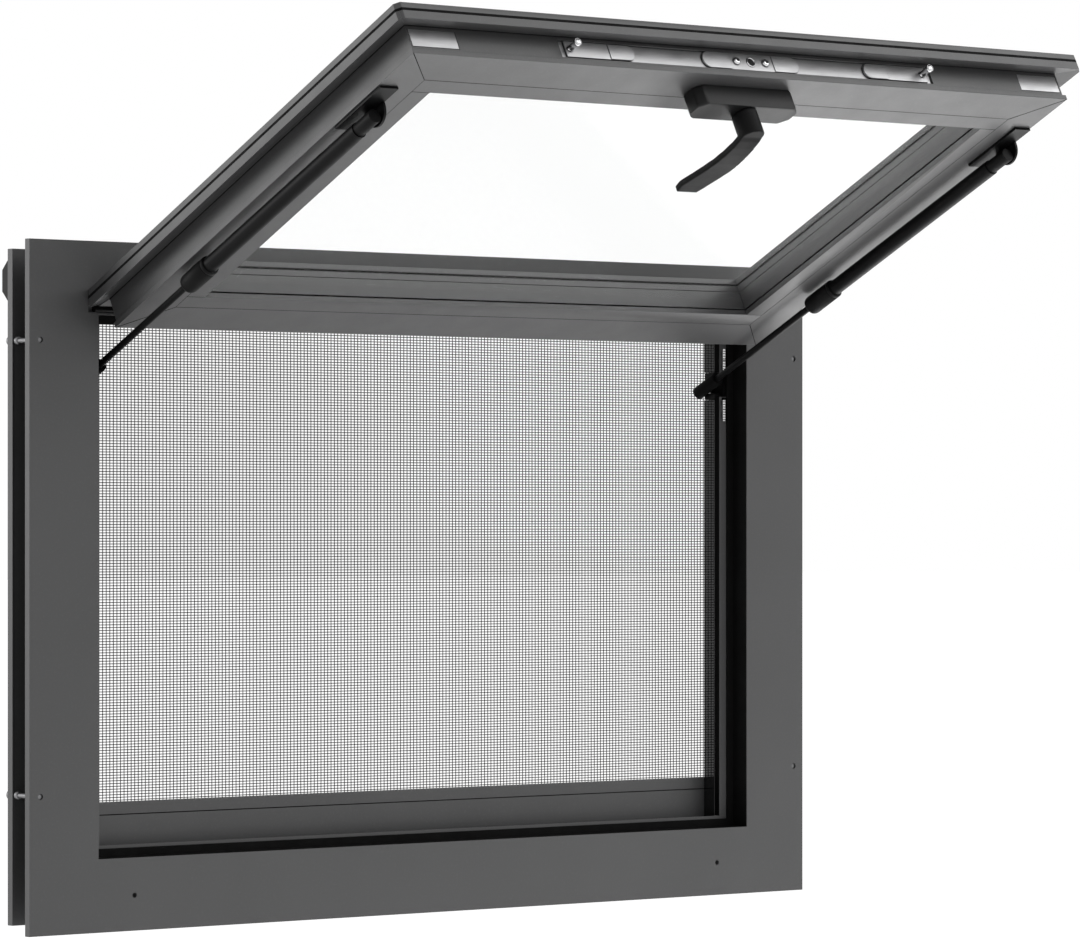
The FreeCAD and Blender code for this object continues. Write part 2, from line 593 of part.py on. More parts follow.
def glazing():
    edge = "(%s - pane_lap)" % DAYLIGHT
    panes = rectangle("-(%s - %s)" % (BODY_X, edge), "%s + %s" % (BODY_LOW, edge),
                      "%s - %s" % (BODY_X, edge), "%s - %s" % (BODY_HIGH, edge))
    back_pane = PANE_FRONT + " + pane_thick + pane_space"
    piece("outer_pane", slab("XZ", PANE_FRONT, "pane_thick", panes), on_sash=True)
    piece("inner_pane", slab("XZ", back_pane, "pane_thick", panes), on_sash=True)
    outer, inner = ring(DAYLIGHT, "(spacer_width - %s)" % DAYLIGHT, "(spacer_width - %s)" % DAYLIGHT)
    piece("glass_spacer", slab("XZ", PANE_FRONT + " + pane_thick", "pane_space", outer, inner), on_sash=True)
    inner_z = BODY_HIGH + " - " + DAYLIGHT
    bead_z = BODY_HIGH + " - rail_width"
    bead_x = "(%s - rail_width)" % BODY_X
    inner_x = "(%s - %s)" % (BODY_X, DAYLIGHT)
    start = "body_depth - bead_thick"
    low = BODY_LOW + " + rail_width"
    inner_low = BODY_LOW + " + " + DAYLIGHT
    piece("bead_handle", slab("XZ", start, "bead_thick", rectangle("-" + bead_x, low, bead_x, inner_low)),
          on_sash=True)
    piece("bead_hinge", slab("XZ", start, "bead_thick", rectangle("-" + bead_x, inner_z, bead_x, bead_z)),
          on_sash=True)
    piece("bead_left", slab("XZ", start, "bead_thick",
                            rectangle("-" + bead_x, inner_low, "-" + inner_x, inner_z)), on_sash=True)
    piece("bead_right", slab("XZ", start, "bead_thick",
                             rectangle(inner_x, inner_low, bead_x, inner_z)), on_sash=True)


def hinge_rod():
    length = "2*(%s + lip_reach - rod_inset)" % BODY_X
    piece("hinge_rod", slab("YZ", "-(%s)/2" % length, length, circle("0", "0", "rod_size/2")), on_sash=True)


def corner_cleats():
    outlines = []
    for side in ("-1", "1"):
        outlines.append(rectangle("%s*(%s - cleat_inset - cleat_length)" % (side, BODY_X), PLATE_LOW,
                                  "%s*(%s - cleat_inset)" % (side, BODY_X), PLATE_HIGH))
    piece("corner_cleats", slab("XY", BODY_LOW + " + wall_inset", "groove_depth", *outlines), on_sash=True)


# Lock gear in the handle rail's pocket
PLATE_TOP = "(%s + wall_inset + slide_thick + slide_gap)" % BODY_LOW


def lock_gear():
    piece("lock_faceplate",
          slab("XY", PLATE_TOP, "%s + wall_inset + groove_depth - %s" % (BODY_LOW, PLATE_TOP),
               rectangle("-plate_half", PLATE_LOW, "plate_half", PLATE_HIGH)), on_sash=True)
    end_radius = "(groove_width/2 - plate_gap)"
    end_x = "(case_half - %s)" % end_radius
    raised = PLATE_TOP + " - case_raise"
    piece("lock_centre_plate",
          slab("XY", raised, "case_raise", rectangle("-" + end_x, PLATE_LOW, end_x, PLATE_HIGH),
               circle("0", GROOVE_MIDDLE, "spindle_size/2")),
          slab("XY", raised, "case_raise", circle("-" + end_x, GROOVE_MIDDLE, end_radius)),
          slab("XY", raised, "case_raise", circle(end_x, GROOVE_MIDDLE, end_radius)), on_sash=True)
    for name, side in (("left", "-1"), ("right", "1")):
        top = "%s - slide_gap - slide_thick" % PLATE_TOP
        outer_end = "%s*(plate_half - slide_inset)" % side
        centre = "%s*(plate_half - slide_inset - pin_inset)" % side
        head = "%s - pin_tall" % top
        round_x = "%s*(plate_half - slide_inset - slide_long + slide_width/2)" % side
        piece("lock_slide_" + name,
              slab("XY", top, "slide_thick",
                   rectangle(round_x, GROOVE_MIDDLE + " - slide_width/2",
                             outer_end, GROOVE_MIDDLE + " + slide_width/2")),
              slab("XY", top, "slide_thick", circle(round_x, GROOVE_MIDDLE, "slide_width/2")),
              slab("XY", head, "pin_tall", circle(centre, GROOVE_MIDDLE, "pin_size/2")),
              slab("XY", head, "pin_head_tall", circle(centre, GROOVE_MIDDLE, "pin_head/2")),
              on_sash=True)


# Bow of the lever's blade: share of its length from the spindle, share of its arch
LEVER_BOW = ((0, 0), (0.05, 0.35), (0.15, 0.7), (0.25, 0.9), (0.4, 1), (0.54, 0.85), (0.7, 0.5), (0.88, 0.05),
             (1, 0))


def handle():
    spindle_z = "(%s + spindle_drop)" % BODY_LOW
    half = "base_length/2"
    side = "base_width/2"
    corners = []
    for sx, sz, first in (("-1", "-1", True), ("1", "-1", False), ("1", "1", True), ("-1", "1", False)):
        near = ("%s*%s" % (sx, half), "%s + %s*(%s - base_chamfer)" % (spindle_z, sz, side))
        far = ("%s*(%s - base_chamfer)" % (sx, half), "%s + %s*%s" % (spindle_z, sz, side))
        corners += [near, far] if first else [far, near]
    piece("handle_base", slab("XZ", "body_depth", "base_tall", polygon(*corners)), on_sash=True)
    top = "(body_depth + base_tall)"
    low = "(%s + lever_clear)" % top
    tip_z = "(%s + lever_length)" % spindle_z
    under = [("%s + %s*lever_arch" % (low, rise), "%s + %s*lever_length" % (spindle_z, share))
             for share, rise in LEVER_BOW]
    over = [(level + " + lever_thick", place) for level, place in reversed(under)]
    sides = []
    for sign in ("-1", "1"):
        wide = sign + "*lever_width/2"
        narrow = sign + "*neck_size/2"
        past = sign + "*lever_width"
        flare_z = spindle_z + " + lever_flare"
        narrow_z = tip_z + " - lever_tip"
        sides.append(cut("XZ", low, "lever_thick + lever_arch",
                         polygon((narrow, spindle_z), (wide, flare_z), (past, flare_z), (past, spindle_z))))
        sides.append(cut("XZ", low, "lever_thick + lever_arch",
                         polygon((narrow, tip_z), (wide, narrow_z), (past, narrow_z), (past, tip_z))))
    piece("handle_lever",
          slab("YZ", "-lever_width/2", "lever_width", polygon(*under, *over)),
          *sides,
          slab("XZ", top + " + neck_gap", "lever_clear - neck_gap + lever_thick",
               circle("0", spindle_z, "neck_size/2")),
          on_sash=True)


# Gas struts
UPPER_X = "(%s - upper_inset)" % BODY_X
LOWER_X = "(opening_width/2 - lower_inset)"


def upper_ball(side):
    local = FreeCAD.Vector(side * size(UPPER_X), size("body_depth + upper_out"),
                           size(BODY_LOW + " + upper_down"))
    return sash_placement().multVec(local)


def lower_ball(side):
    return FreeCAD.Vector(side * size(LOWER_X) - size("lower_shift"), size("lower_back - flange_thick"),
                          size(OPEN_HIGH + " - lower_drop"))


def bar(start, end, diameter):
    return Part.makeCylinder(diameter / 2, (end - start).Length, start, end - start)


def solid(name, shape):
    feature = doc.addObject("Part::Feature", name)
    feature.Label = name
    feature.Shape = shape
    nodes.append(feature)


def socket(ball, along, length, stud_side):
    """End fitting with a round hollow for its ball and a bore for the stud."""
    shape = bar(ball - along * size("socket_end"), ball + along * length, size("socket_size"))
    shape = shape.cut(Part.makeSphere(size("ball_size/2 + ball_gap"), ball, FreeCAD.Vector(1, 0, 0)))
    reach = FreeCAD.Vector(stud_side * size("socket_size"), 0, 0)
    return shape.cut(bar(ball, ball + reach, size("stud_size + 2*ball_gap")))


def struts():
    for name, side in (("left", -1), ("right", 1)):
        upper, lower = upper_ball(side), lower_ball(side)
        along = (lower - upper).normalize()
        tube_start = upper + along * size("upper_socket")
        tube_end = upper + along * size("tube_end")
        sleeve_start = tube_end - along * size("sleeve_lap")
        sleeve_end = sleeve_start + along * size("sleeve_long")
        rod_start = tube_end + along * size("fit_gap")
        rod_end = lower - along * size("lower_socket")
        sleeve = bar(sleeve_start, sleeve_end, size("sleeve_size"))
        shoulder = tube_end + along * size("fit_gap")
        sleeve = sleeve.cut(bar(sleeve_start, shoulder, size("tube_size + 2*fit_gap")))
        sleeve = sleeve.cut(bar(tube_end, sleeve_end, size("strut_rod_size + 2*fit_gap")))
        solid("strut_tube_" + name, bar(tube_start, tube_end, size("tube_size")))
        solid("strut_sleeve_" + name, sleeve)
        solid("strut_rod_" + name, bar(rod_start, rod_end, size("strut_rod_size")))
        solid("strut_socket_upper_" + name, socket(upper, along, size("upper_socket"), 1))
        solid("strut_socket_lower_" + name, socket(lower, -along, size("lower_socket"), side))


# Strut brackets

def ball(x, y, z):
    """Ball at the end of a stud, its poles in line with the stud."""
    def build(body):
        sphere = body.newObject("PartDesign::AdditiveSphere", body.Name + "Ball")
        sphere.Placement.Rotation = FreeCAD.Rotation(FreeCAD.Vector(0, 1, 0), 90)
        sphere.setExpression("Radius", bound("ball_size/2"))
        for axis, text in (("x", x), ("y", y), ("z", z)):
            sphere.setExpression("Placement.Base." + axis, bound(text))
    return build


def sash_brackets():
    """Angle plates of one hand, the ear on the right edge of both."""
    for name, side in (("left", "-1"), ("right", "1")):
        ball_x = "(%s*%s)" % (side, UPPER_X)
        ball_y = "(body_depth + upper_out)"
        ball_z = "(%s + upper_down)" % BODY_LOW
        edge = "(%s + lug_wide/2)" % ball_x
        round_y = "(body_depth + tab_out)"
        foot = BODY_LOW + " + lug_top"
        piece("sash_bracket_" + name,
              slab("XZ", "body_depth", "lug_thick",
                   rectangle(ball_x + " - lug_wide/2", foot, edge, foot + " + lug_long")),
              slab("YZ", edge + " - tab_thick", "tab_thick",
                   rectangle("body_depth", ball_z + " - tab_radius", round_y, ball_z + " + tab_radius")),
              slab("YZ", edge + " - tab_thick", "tab_thick", circle(round_y, ball_z, "tab_radius")),
              cut("XZ", "body_depth - 2*tab_radius", "2*tab_radius",
                  rectangle(ball_x + " - lug_wide", foot, edge + " + lug_wide", foot + " + 2*lug_long")),
              slab("YZ", ball_x, "lug_wide/2 - tab_thick", circle(ball_y, ball_z, "stud_size/2")),
              ball(ball_x, ball_y, ball_z), on_sash=True)


def frame_brackets():
    """Angle plates on the rear frame, each ear standing in its notch."""
    low = "(%s + foot_gap)" % NOTCH_LOW
    high = "(%s - foot_gap)" % NOTCH_HIGH
    front = "(ear_front - flange_thick)"
    foot_y = "(wall_space - foot_thick)"
    ball_y = "(lower_back - flange_thick)"
    ball_z = "(%s - lower_drop)" % OPEN_HIGH
    for name, side in (("left", "-1"), ("right", "1")):
        ball_x = "(%s*%s - lower_shift)" % (side, LOWER_X)
        inner = "%s*%s" % (side, EAR_X)
        outer = "%s*(%s + ear_thick)" % (side, EAR_X)
        near = ball_x if side == "1" else inner
        piece("frame_bracket_" + name,
              slab("XZ", front, REAR_BACK + " - " + front,
                   rectangle(inner, low, outer, high)),
              slab("XZ", foot_y, "foot_thick",
                   rectangle(outer, low, "%s*(%s + foot_wide)" % (side, EAR_X), high)),
              slab("YZ", near, "%s - %s*%s" % (EAR_X, side, ball_x), circle(ball_y, ball_z, "stud_size/2")),
              ball(ball_x, ball_y, ball_z))


front_flange()
reveal()
frame_seal()
rear_frame()
clamp_screws()
insect_screen()
roller_housing()
sash_rails()
sash_cover()
glazing()
hinge_rod()
corner_cleats()
lock_gear()
handle()
struts()
sash_brackets()
frame_brackets()

doc.recompute()
for item in doc.Objects:
    if "Invalid" in item.State or "Error" in item.State:
        raise RuntimeError("%s did not build: %s" % (item.Name, item.State))
os.makedirs("parts", exist_ok=True)
for node in nodes:
    if node.Shape.isNull() or not node.Shape.isValid():
        raise RuntimeError("%s has no valid shape" % node.Label)
    node.Shape.exportStep("parts/%s.step" % node.Label)
    print(node.Label, len(node.Shape.Solids), round(node.Shape.Volume))
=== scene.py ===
import json
import math
import bmesh
import bpy
from mathutils import Matrix, Vector

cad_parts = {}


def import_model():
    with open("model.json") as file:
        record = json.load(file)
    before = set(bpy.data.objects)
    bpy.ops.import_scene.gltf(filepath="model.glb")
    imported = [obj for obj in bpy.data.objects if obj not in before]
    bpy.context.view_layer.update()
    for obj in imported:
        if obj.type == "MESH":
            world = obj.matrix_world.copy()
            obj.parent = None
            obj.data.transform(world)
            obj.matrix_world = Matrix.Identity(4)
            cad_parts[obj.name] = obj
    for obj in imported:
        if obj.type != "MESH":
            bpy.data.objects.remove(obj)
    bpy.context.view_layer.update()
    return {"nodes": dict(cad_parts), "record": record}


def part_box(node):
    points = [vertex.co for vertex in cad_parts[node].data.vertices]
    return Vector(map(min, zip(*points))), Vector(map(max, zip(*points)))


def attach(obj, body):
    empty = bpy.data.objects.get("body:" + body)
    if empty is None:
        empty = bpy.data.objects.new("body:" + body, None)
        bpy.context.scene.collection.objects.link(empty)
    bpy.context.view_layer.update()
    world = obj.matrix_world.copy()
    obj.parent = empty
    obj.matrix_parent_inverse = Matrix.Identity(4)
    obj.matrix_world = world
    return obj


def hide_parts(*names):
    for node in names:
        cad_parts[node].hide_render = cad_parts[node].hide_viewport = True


# Service window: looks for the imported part. Metres; X across, Y into the wall, Z up.
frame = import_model()
nodes = frame["nodes"]
MM = 0.001
SIDES = (("left", -1), ("right", 1))

# Where the sash hangs, as in the part
HINGE = Vector((0, -7.2, 538.75)) * MM
OPEN_ANGLE = 116.8
SASH = Matrix.Translation(HINGE) @ Matrix.Rotation(math.radians(-OPEN_ANGLE), 4, "X")

# The closed sash's body in millimetres from the hinge's axis, as in the part: X across, Y inwards, Z up
SASH_SIDE = 395
HANDLE_END = -501.8
HINGE_END = -9
SASH_FACE = 24
RAIL_WIDTH = 41.5
BEAD_WIDTH = 20
DAYLIGHT = RAIL_WIDTH + BEAD_WIDTH
LIP_REACH = 16.5
LIP_HINGE = 8.8
LIP_CORNER = 4.5


# Node helpers

class Shader:
    """A material's node tree with short ways to add and join nodes."""

    def __init__(self, name):
        self.material = bpy.data.materials.new(name)
        self.material.use_nodes = True
        self.tree = self.material.node_tree
        self.tree.nodes.clear()
        self.output = self.add("ShaderNodeOutputMaterial")

    @classmethod
    def of(cls, material):
        """The same ways for a material that is there already."""
        shader = cls.__new__(cls)
        shader.material = material
        shader.tree = material.node_tree
        shader.output = next(node for node in shader.tree.nodes if node.type == "OUTPUT_MATERIAL")
        return shader

    def add(self, kind, **settings):
        node = self.tree.nodes.new(kind)
        for key, value in settings.items():
            setattr(node, key, value)
        return node

    def join(self, source, target):
        """Join two sockets, or give the target a plain number or colour."""
        if isinstance(source, bpy.types.NodeSocket):
            self.tree.links.new(source, target)
        elif isinstance(source, tuple):
            target.default_value = (*source, 1)
        else:
            target.default_value = source

    def calculate(self, operation, *sources):
        node = self.add("ShaderNodeMath", operation=operation)
        for socket, source in zip(node.inputs, sources):
            self.join(source, socket)
        return node.outputs[0]

    def coordinates(self, stretch=(1, 1, 1)):
        source = self.add("ShaderNodeTexCoord").outputs["Object"]
        mapping = self.add("ShaderNodeMapping")
        mapping.inputs["Scale"].default_value = stretch
        self.join(source, mapping.inputs["Vector"])
        return mapping.outputs["Vector"]

    def noise(self, scale, detail=3.0, stretch=(1, 1, 1)):
        node = self.add("ShaderNodeTexNoise")
        node.inputs["Scale"].default_value = scale
        node.inputs["Detail"].default_value = detail
        self.join(self.coordinates(stretch), node.inputs["Vector"])
        return node.outputs["Fac"]

    def spread(self, source, low, high, from_low=0.3, from_high=0.7):
        node = self.add("ShaderNodeMapRange")
        for key, value in (("From Min", from_low), ("From Max", from_high), ("To Min", low), ("To Max", high)):
            node.inputs[key].default_value = value
        self.join(source, node.inputs["Value"])
        return node.outputs["Result"]

    def blend(self, factor, first, second):
        """Mix of two colours, each a socket or a plain colour; the node's colour sockets are 6, 7 and 2."""
        node = self.add("ShaderNodeMix", data_type="RGBA")
        for index, source in ((0, factor), (6, first), (7, second)):
            self.join(source, node.inputs[index])
        return node.outputs[2]

    def edges(self, radius):
        """1 at a body's outer edges, 0 on its flat faces."""
        bevel = self.add("ShaderNodeBevel", samples=4)
        bevel.inputs["Radius"].default_value = radius
        plain = self.add("ShaderNodeNewGeometry").outputs["Normal"]
        dot = self.add("ShaderNodeVectorMath", operation="DOT_PRODUCT")
        self.join(bevel.outputs["Normal"], dot.inputs[0])
        self.join(plain, dot.inputs[1])
        return self.spread(dot.outputs["Value"], 0.0, 1.0, 0.98, 0.75)

    def crease(self, reach, own=True):
        """Mask for painted shade: 1 in narrow gaps and inner corners, the piece's own or also those beside
        others, 0 on open faces.
        """
        shadow = self.add("ShaderNodeAmbientOcclusion", samples=6, only_local=own)
        shadow.inputs["Distance"].default_value = reach
        return self.spread(shadow.outputs["AO"], 1.0, 0.0, 0.45, 0.9)

    def bump(self, height, strength, distance):
        node = self.add("ShaderNodeBump")
        node.inputs["Strength"].default_value = strength
        node.inputs["Distance"].default_value = distance
        self.join(height, node.inputs["Height"])
        return node.outputs["Normal"]

    def principled(self, **values):
        node = self.add("ShaderNodeBsdfPrincipled")
        for key, value in values.items():
            self.join(value, node.inputs[key.replace("_", " ")])
        self.join(node.outputs[0], self.output.inputs["Surface"])
        return node


def shade(colour, factor):
    return tuple(channel * factor for channel in colour)


# Finishes

# Widths of the rubbed edges and of the painted shade in creases, in metres
EDGE_RUB = 0.0007
CREASE_REACH = 0.0018
# Powder coat: roughness, gloss level and drift of tone
COAT_ROUGH = 0.42
COAT_LEVEL = 0.5
DRIFT = 0.05
# Half the width within which the frame's returns are black, in metres
RETURN_SIDE = 0.396


def coated(name, colour, rough, grain=900.0, grain_depth=0.00006, wear=0.35, level=COAT_LEVEL):
    """Powder coat, paint or moulded plastic: drifting tone, fine grain, edges rubbed a little lighter, painted
    shade in creases.
    """
    s = Shader(name)
    tone = s.blend(s.spread(s.noise(7.0, 2.0), 0.0, 1.0), shade(colour, 1 - DRIFT), shade(colour, 1 + DRIFT))
    speck = s.blend(s.spread(s.noise(420.0, 2.0), 0.0, 0.5, 0.55, 0.8), tone, shade(colour, 1.35))
    rubbed = s.blend(s.calculate("MULTIPLY", s.edges(EDGE_RUB), wear), speck, shade(colour, 2.1))
    # Painted shade: the colour darkens in creases and inner corners, where shade falls.
    painted_crease_shade = s.blend(s.crease(CREASE_REACH), rubbed, shade(colour, 0.12))
    gloss = s.spread(s.noise(38.0, 4.0), rough - 0.03, rough + 0.03)
    normal = s.bump(s.noise(grain, 2.0), 0.35, grain_depth)
    s.principled(Base_Color=painted_crease_shade, Roughness=gloss, Normal=normal, Specular_IOR_Level=level)
    return s.material


def moulded(name, colour, rough, level):
    """Plastic with the coarser grain of its mould."""
    return coated(name, colour, rough, grain=1100.0, grain_depth=0.0001, level=level)


def returned(name, colour, dark, dark_rough, dark_level):
    """Powder coat whose returns inside the opening, seen through the window, are black."""
    material = coated(name, colour, COAT_ROUGH)
    s = Shader.of(material)
    principled = next(node for node in s.tree.nodes if node.type == "BSDF_PRINCIPLED")
    plain = principled.inputs["Base Color"].links[0].from_socket
    faces = s.add("ShaderNodeSeparateXYZ")
    s.join(s.add("ShaderNodeNewGeometry").outputs["True Normal"], faces.inputs[0])
    places = s.add("ShaderNodeSeparateXYZ")
    s.join(s.coordinates(), places.inputs[0])
    sideways = s.spread(s.calculate("ABSOLUTE", faces.outputs["Y"]), 1.0, 0.0, 0.45, 0.55)
    across = s.calculate("ABSOLUTE", places.outputs["X"])
    inside = s.spread(across, 1.0, 0.0, RETURN_SIDE, RETURN_SIDE + 0.001)
    mask = s.calculate("MULTIPLY", sideways, inside)
    s.join(s.blend(mask, plain, dark), principled.inputs["Base Color"])
    s.join(s.spread(mask, COAT_ROUGH, dark_rough, 0.0, 1.0), principled.inputs["Roughness"])
    s.join(s.spread(mask, COAT_LEVEL, dark_level, 0.0, 1.0), principled.inputs["Specular IOR Level"])
    principled.inputs["Normal"].links[0].from_node.inputs["Strength"].default_value = 0.05
    return material


def plated(name, colour, rough, brush=(1.0, 60.0, 60.0)):
    """Zinc plate with fine rolling marks along X, and painted shade in creases and beside other pieces."""
    s = Shader(name)
    marks = s.noise(45.0, 5.0, brush)
    tone = s.blend(s.spread(marks, 0.0, 1.0), shade(colour, 0.86), shade(colour, 1.05))
    cloud = s.blend(s.spread(s.noise(30.0, 3.0), 0.0, 0.45), tone, shade(colour, 0.8))
    # Painted shade: the colour darkens in creases and next to other pieces, where shade falls.
    painted_crease_shade = s.blend(s.crease(CREASE_REACH, own=False), cloud, shade(colour, 0.08))
    gloss = s.spread(s.noise(60.0, 3.0), rough - 0.06, rough + 0.06)
    normal = s.bump(marks, 0.25, 0.00004)
    s.principled(Base_Color=painted_crease_shade, Roughness=gloss, Normal=normal, Metallic=1.0)
    return s.material


def rubber(name, colour):
    s = Shader(name)
    tone = s.blend(s.spread(s.noise(20.0, 3.0), 0.0, 1.0), shade(colour, 0.8), shade(colour, 1.3))
    gloss = s.spread(s.noise(90.0, 3.0), 0.62, 0.78)
    normal = s.bump(s.noise(700.0, 3.0), 0.4, 0.0001)
    s.principled(Base_Color=tone, Roughness=gloss, Normal=normal, Specular_IOR_Level=0.08)
    return s.material


def glass(name):
    """Clear float glass with a faint film on it, letting light through to what lies behind."""
    s = Shader(name)
    film = s.spread(s.noise(9.0, 4.0), 0.0, 0.015, 0.45, 0.75)
    clear = s.principled(Base_Color=(0.995, 1.0, 0.997), Roughness=film, Transmission_Weight=1.0, IOR=1.5)
    through = s.add("ShaderNodeBsdfTransparent")
    s.join((0.999, 1.0, 0.9995), through.inputs["Color"])
    mix = s.add("ShaderNodeMixShader")
    s.join(0.99, mix.inputs[0])
    s.join(clear.outputs[0], mix.inputs[1])
    s.join(through.outputs[0], mix.inputs[2])
    s.join(mix.outputs[0], s.output.inputs["Surface"])
    return s.material


def yarn(name, colour):
    """Coated glass-fibre yarn with its twist."""
    s = Shader(name)
    tone = s.blend(s.spread(s.noise(260.0, 2.0), 0.0, 1.0), shade(colour, 0.7), shade(colour, 1.5))
    gloss = s.spread(s.noise(300.0, 2.0), 0.6, 0.75)
    normal = s.bump(s.noise(2500.0, 2.0), 0.4, 0.0001)
    s.principled(Base_Color=tone, Roughness=gloss, Normal=normal, Specular_IOR_Level=0.2)
    return s.material


GREY = (0.062, 0.062, 0.063)
BLACK = (0.004, 0.004, 0.0042)
DULL_BLACK = (0.002, 0.002, 0.002)
finishes = {
    "grey_paint": coated("grey_powder_coat", GREY, COAT_ROUGH),
    "black_paint": coated("black_paint", BLACK, 0.4, grain=500.0, grain_depth=0.00003, wear=0.3, level=0.09),
    "black_plastic": moulded("black_plastic", (0.009, 0.009, 0.0092), 0.48, 0.16),
    "black_rubber": rubber("black_rubber", (0.003, 0.003, 0.003)),
    "clear_glass": glass("clear_glass"),
    "zinc_steel": plated("zinc_plate", (0.4, 0.4, 0.405), 0.38),
    "spacer_bar": coated("spacer_bar", (0.07, 0.07, 0.071), 0.4),
    "screen_cloth": yarn("screen_yarn", (0.005, 0.005, 0.005)),
}
chrome = plated("chrome", (0.6, 0.6, 0.61), 0.16, brush=(40.0, 40.0, 40.0))
dark_zinc = plated("dark_zinc", (0.2, 0.2, 0.205), 0.42)
handle_finish = moulded("handle_plastic", (0.011, 0.011, 0.0113), 0.42, 0.2)
lever_finish = moulded("lever_plastic", (0.01, 0.01, 0.0103), 0.5, 0.06)
strut_finish = moulded("strut_plastic", (0.0045, 0.0045, 0.0046), 0.5, 0.1)
socket_finish = moulded("socket_plastic", (0.0025, 0.0025, 0.0026), 0.6, 0.05)
rear_finish = returned("rear_return", GREY, BLACK, 0.06, COAT_LEVEL)
jamb_finish = returned("jamb_return", GREY, DULL_BLACK, 0.75, 0.04)

slot_of = {item["node"]: item["material_slot"] for item in frame["record"]["subparts"]}
for name, node in nodes.items():
    node.data.materials.clear()
    node.data.materials.append(finishes[slot_of[name]])
nodes["handle_base"].data.materials[0] = handle_finish
# Painted shade: the hinge rod is given black paint to stand in for the shade around it.
nodes["hinge_rod"].data.materials[0] = finishes["black_paint"]
nodes["clamp_screws"].data.materials[0] = dark_zinc
nodes["rear_frame"].data.materials[0] = rear_finish
for name, _ in SIDES:
    nodes["reveal_jamb_" + name].data.materials[0] = jamb_finish
    nodes["strut_socket_upper_" + name].data.materials[0] = strut_finish
    nodes["strut_socket_lower_" + name].data.materials[0] = socket_finish


# Mesh helpers

HEXAGON = 6
OCTAGON = 8
ROUND = 24
FINE_ROUND = 32


def new_piece(name, mesh, body, slot, finish=None, smooth=True):
    """Object from a bmesh, riding on a body with a finish."""
    data = bpy.data.meshes.new(name)
    mesh.to_mesh(data)
    mesh.free()
    piece = bpy.data.objects.new(name, data)
    bpy.context.scene.collection.objects.link(piece)
    data.materials.append(finish or finishes[slot])
    for face in data.polygons:
        face.use_smooth = smooth
    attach(piece, body)
    return piece


def soften(piece, width, segments=2, angle=35):
    """Small round on every sharp edge."""
    weld = piece.modifiers.new("Weld", "WELD")
    weld.merge_threshold = 0.00001
    bevel = piece.modifiers.new("Edges", "BEVEL")
    bevel.width = width
    bevel.segments = segments
    bevel.limit_method = "ANGLE"
    bevel.angle_limit = math.radians(angle)
    bevel.harden_normals = True
    bevel.use_clamp_overlap = True


def join_rings(mesh, first, second):
    """Faces between two rings of the same number of points."""
    for index in range(len(first)):
        after = (index + 1) % len(first)
        mesh.faces.new((first[index], first[after], second[after], second[index]))


def prism(mesh, start, end, radius, sides):
    """Closed round bar between two points."""
    axis = end - start
    turn = axis.to_track_quat("Z", "Y").to_matrix().to_4x4()
    place = Matrix.Translation((start + end) / 2) @ turn
    bmesh.ops.create_cone(mesh, cap_ends=True, segments=sides, radius1=radius, radius2=radius,
                          depth=axis.length, matrix=place)


def lathe(mesh, profile, sides, place):
    """Turned form: profile is radius and height pairs from the foot up, closed at both ends."""
    rings = []
    for radius, height in profile:
        ring = []
        for index in range(sides):
            angle = 2 * math.pi * index / sides
            spot = Vector((radius * math.cos(angle), radius * math.sin(angle), height)) * MM
            ring.append(mesh.verts.new(place @ spot))
        rings.append(ring)
    for lower, upper in zip(rings, rings[1:]):
        join_rings(mesh, lower, upper)
    mesh.faces.new(list(reversed(rings[0])))
    mesh.faces.new(rings[-1])
    bmesh.ops.recalc_face_normals(mesh, faces=mesh.faces)


def turned(name, body, profile, sides, places, slot, finish=None, smooth=True):
    """One piece of the same turned form at each place."""
    mesh = bmesh.new()
    for place in places:
        lathe(mesh, profile, sides, place)
    return new_piece(name, mesh, body, slot, finish, smooth)


def runs(name, lines, radius, sides, slot, place=SASH):
    """One piece of thin bars, each from a start to an end in millimetres."""
    mesh = bmesh.new()
    for start, end in lines:
        prism(mesh, place @ (Vector(start) * MM), place @ (Vector(end) * MM), radius * MM, sides)
    return new_piece(name, mesh, "frame", slot)


# Insect screen: every thread of the cloth

THREAD_PITCH_X = 4.06 * MM
THREAD_PITCH_Z = 2.60 * MM
THREAD_RADIUS = 0.4 * MM


def screen():
    low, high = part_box("insect_screen")
    middle = (low.y + high.y) / 2
    mesh = bmesh.new()
    columns = int((high.x - low.x - 2 * THREAD_RADIUS) / THREAD_PITCH_X)
    rows = int((high.z - low.z - 2 * THREAD_RADIUS) / THREAD_PITCH_Z)
    first_x = (low.x + high.x - columns * THREAD_PITCH_X) / 2
    first_z = (low.z + high.z - rows * THREAD_PITCH_Z) / 2
    for index in range(columns + 1):
        x = first_x + index * THREAD_PITCH_X
        prism(mesh, Vector((x, middle, low.z)), Vector((x, middle, high.z)), THREAD_RADIUS, HEXAGON)
    for index in range(rows + 1):
        z = first_z + index * THREAD_PITCH_Z
        prism(mesh, Vector((low.x, middle, z)), Vector((high.x, middle, z)), THREAD_RADIUS, HEXAGON)
    piece = new_piece("screen_threads", mesh, "frame", "screen_cloth")
    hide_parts("insect_screen")


# Handle lever: the part's own form, cast round and smooth

def applied(piece):
    """A copy of a piece's mesh with its modifiers in it."""
    graph = bpy.context.evaluated_depsgraph_get()
    data = bpy.data.meshes.new_from_object(piece.evaluated_get(graph))
    mesh = bmesh.new()
    mesh.from_mesh(data)
    bpy.data.meshes.remove(data)
    return mesh


def cast_lever():
    rough = bpy.data.objects.new("lever_rough", nodes["handle_lever"].data.copy())
    bpy.context.scene.collection.objects.link(rough)
    remesh = rough.modifiers.new("Voxels", "REMESH")
    remesh.mode = "VOXEL"
    remesh.voxel_size = 0.8 * MM
    smooth = rough.modifiers.new("Smooth", "SMOOTH")
    smooth.factor = 0.5
    smooth.iterations = 9
    mesh = applied(rough)
    bpy.data.objects.remove(rough)
    piece = new_piece("lever_casting", mesh, "handle", "black_plastic", lever_finish)
    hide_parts("handle_lever")


# Lock details on the sash's handle rail; each face is at a Z of the closed sash, and lower is further out

